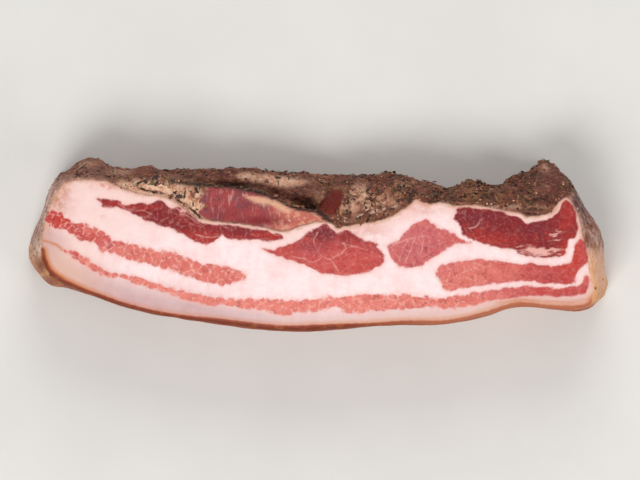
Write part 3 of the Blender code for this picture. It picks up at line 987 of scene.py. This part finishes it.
def meat_material():
    """All the finishes of the slab's surface in one material."""
    g = Graph("cured_belly")
    crack = g.read("crack")
    # Painted shade: the crack's gap is painted near-black in broken runs, where shade falls inside it
    crack_shade = g.step(crack + (g.clouds(1.7, 5, 0.65) - 0.5) * 2.4, 0.36, 0.8) * g.step(crack, 0.05, 0.3)
    crack_shade = crack_shade * g.step(g.clouds(3.2), 0.36, 0.5, 0.4, 1)
    colour = g.coats(
        cut_colour(g),
        (g.read("crust"), crust_colour(g)),
        # Painted shade in the crack
        (crack_shade * 0.9, CHAR),
        (g.read("end"), end_colour(g)),
        (g.read("rind_side"), rind_colour(g)))
    cut = g.read("cut")
    in_lean = g.step(g.read("lean"), -0.1, 0.3)
    moist = 0.42 + g.clouds(3) * 0.16 - in_lean * 0.06
    dry = 0.62 + g.clouds(2) * 0.2
    dry = dry - g.read("lip") * 0.25 - g.read("patch") * 0.3 - g.read("wet") * 0.22
    fine = g.clouds(0.9, 4, 0.6)
    grainy = g.clouds(1.6, 5, 0.65) + g.cells(1.5) * 0.4 + g.clouds(3.6, 3, 0.6) * 1.7
    pores = g.step(g.cells(2), 0.24, 0.08)
    height = cut * (fine * 0.12 - in_lean * 0.18) + g.read("crust") * grainy * 0.9
    height = height + g.read("end") * g.clouds(2.4, 5, 0.6) * 1.3
    height = height + g.read("rind_side") * (fine * 0.25 - pores * 0.25)
    return g.finish(colour, cut * moist + (1 - cut) * dry, height, 0.8, MEAT_SHINE)


def spice_material(name, stops, roughness, size):
    """One kind of spice, with its colour changing from grain to grain."""
    g = Graph(name)
    shade = g.read("shade") + (g.clouds(size) - 0.5) * 0.3
    rough = roughness + g.clouds(size * 0.6, 2) * 0.2
    return g.finish(g.ramp(shade, stops), rough, g.clouds(size * 0.4, 4), 0.2, {"Specular IOR Level": 0.4})


def make_grain(shape):
    """One grain of spice at unit size, as its corners and faces."""
    bpy.ops.mesh.primitive_ico_sphere_add(subdivisions=1, radius=0.5)
    grain = bpy.context.object
    bpy.ops.object.mode_set(mode="EDIT")
    bpy.ops.mesh.select_all(action="SELECT")
    bpy.ops.transform.vertex_random(offset=0.2, seed=4)
    bpy.ops.transform.resize(value=shape)
    bpy.ops.mesh.normals_make_consistent(inside=False)
    bpy.ops.object.mode_set(mode="OBJECT")
    corners = read_corners(grain.data, "co")
    faces = [tuple(p.vertices) for p in grain.data.polygons]
    bpy.data.objects.remove(grain)
    return corners, faces


def scatter(name, skin, weight):
    """Many grains of one spice pressed into the skin where weight is high, as one mesh."""
    count, size, shape, tilt, seed, roughness, stops = SPICES[name]
    rng = np.random.default_rng(seed)
    mesh = skin.data
    centres = np.array([p.center[:] for p in mesh.polygons])
    normals = np.array([p.normal[:] for p in mesh.polygons])
    areas = np.array([p.area for p in mesh.polygons])
    share = areas * np.array([weight[list(p.vertices)].mean() for p in mesh.polygons])
    chosen = rng.choice(len(centres), size=count, p=share / share.sum())
    corners, faces = make_grain(shape)
    made, sides, shades = [], [], []
    for index in chosen:
        lean = Vector(normals[index]) + Vector(rng.normal(0, tilt, 3))
        turn = lean.to_track_quat("Z", "Y").to_matrix() @ Matrix.Rotation(rng.uniform(0, 6.28), 3, "Z")
        grow = size * MM * min(math.exp(rng.normal(0, 0.32)), 1.4)
        grain = corners * rng.uniform(0.7, 1.3, 3) * grow
        start = centres[index] + rng.normal(0, 0.3 * MM, 3) - normals[index] * grow * 0.25 * 0.3
        first = len(made) * len(corners)
        made.append(grain @ np.array(turn).T + start)
        sides.extend(tuple(first + v for v in face) for face in faces)
        nearby = 0.5 + 0.9 * noise.noise(Vector(centres[index]) / (6 * MM))
        shades.append(np.full(len(corners), min(max(0.55 * rng.uniform() + 0.45 * nearby, 0), 1)))
    spice = bpy.data.meshes.new(name)
    spice.from_pydata(np.clip(np.vstack(made), LOW, HIGH), [], sides)
    paint(spice, shade=np.concatenate(shades))
    spice.materials.append(spice_material(name, stops, roughness, size))
    piece = bpy.data.objects.new(name, spice)
    link(piece)
    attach(piece, "root")


def add_spices(skin, found):
    """Pepper, crumbs, bark-like flakes and herbs on the crusted side."""
    seen = found["seen"]
    places = read_corners(skin.data, "co")
    level = places[:, 2]
    high = high_share(places)
    crust = found["crust"] * (1 - found["lip"]) * (1 - within(seen, PATCH, -2, 1))
    crust *= 1 - near_line(seen, CRACK, 2) * high
    crust *= 1 - 0.9 * np.maximum(near_line(seen, MEMBRANE, 2.4), spots(seen, GLINTS))
    tan = within(seen, TAN_CRUST, -6, 3) * high
    clumps = rise(-0.2, 0.4, wander(places, 9, 31))
    bare_ridge = (1 - rise(*SPICED_X, seen[:, 0])) * (1 - tan)
    bare_ridge *= rise(20 * MM, 30 * MM, level)
    weight = crust * (0.2 + clumps) * (1 - 0.88 * bare_ridge)
    weight *= 1 - 0.6 * rise(24 * MM, 14 * MM, level)
    weight *= 1 - 0.8 * spots(seen, BARE_CRUST)
    lumps = SIDE_SPOTS["mauve_lump"] + SIDE_SPOTS["tan_lump"]
    weight *= 1 - 0.8 * spots(seen, lumps)
    weight *= rise(0.5, 3.5, -depth_inside(seen, CUT_EDGE))
    by_crease = 0.5 * crust * near_line(seen, CREASE, 4)
    scatter("pepper", skin, weight)
    scatter("crumbs", skin, weight * 0.5 + 0.8 * tan * crust)
    scatter("bark", skin, weight * (0.5 + spots(seen, SIDE_SPOTS["rusty"])) + by_crease)
    scatter("herbs", skin, weight + by_crease)


def make_slab():
    """The dressed slab and its spices."""
    skin = make_skin()
    add_relief(skin)
    found = paint_meat(skin)
    skin.data.materials.append(meat_material())
    skin.data.shade_smooth()
    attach(skin, "root")
    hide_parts("slab")
    add_spices(skin, found)


def add_floor():
    """The plain pale floor."""
    bpy.ops.mesh.primitive_plane_add(size=6, location=(0, 0, 0))
    floor = bpy.context.object
    floor.name = "floor"
    g = Graph("floor")
    tone = g.mix(g.step(g.clouds(60), 0.3, 0.7), FLOOR_PALE, FLOOR_LIGHT)
    floor.data.materials.append(g.finish(tone, 0.8, g.clouds(3, 2), 0.05))


def add_light(name, place, size, watts):
    """A soft square light that points at the slab."""
    data = bpy.data.lights.new(name, "AREA")
    data.energy = watts
    data.size = size
    light = bpy.data.objects.new(name, data)
    light.location = place
    light.rotation_euler = (LIT_POINT - Vector(place)).to_track_quat("-Z", "Y").to_euler()
    link(light)


def add_camera():
    """The camera straight above the cut face, as the photograph has it."""
    data = bpy.data.cameras.new("camera")
    data.lens = CAMERA_LENS
    data.sensor_width = CAMERA_SENSOR
    camera = bpy.data.objects.new("camera", data)
    camera.location = (
        (MIDDLE_PIXEL[0] - ORIGIN_PIXEL[0]) * PIXEL, (ORIGIN_PIXEL[1] - MIDDLE_PIXEL[1]) * PIXEL,
        FACE_LEVEL + CAMERA_HEIGHT)
    link(camera)
    bpy.context.scene.camera = camera


def add_studio():
    """Floor, lights, camera and the pale surroundings."""
    add_floor()
    add_light("key", (-0.28, -0.60, 0.95), 0.5, 7.8)
    add_light("side", (0.75, -0.35, 0.70), 0.5, 2.3)
    add_light("rim", (0.10, 0.90, 0.65), 0.7, 5.5)
    world = bpy.data.worlds.new("studio")
    world.use_nodes = True
    surroundings = world.node_tree.nodes["Background"].inputs
    surroundings["Color"].default_value = (0.9, 0.92, 0.95, 1)
    surroundings["Strength"].default_value = 0.3
    bpy.context.scene.world = world
    bpy.context.scene.view_settings.view_transform = "Standard"
    add_camera()


make_slab()
add_studio()
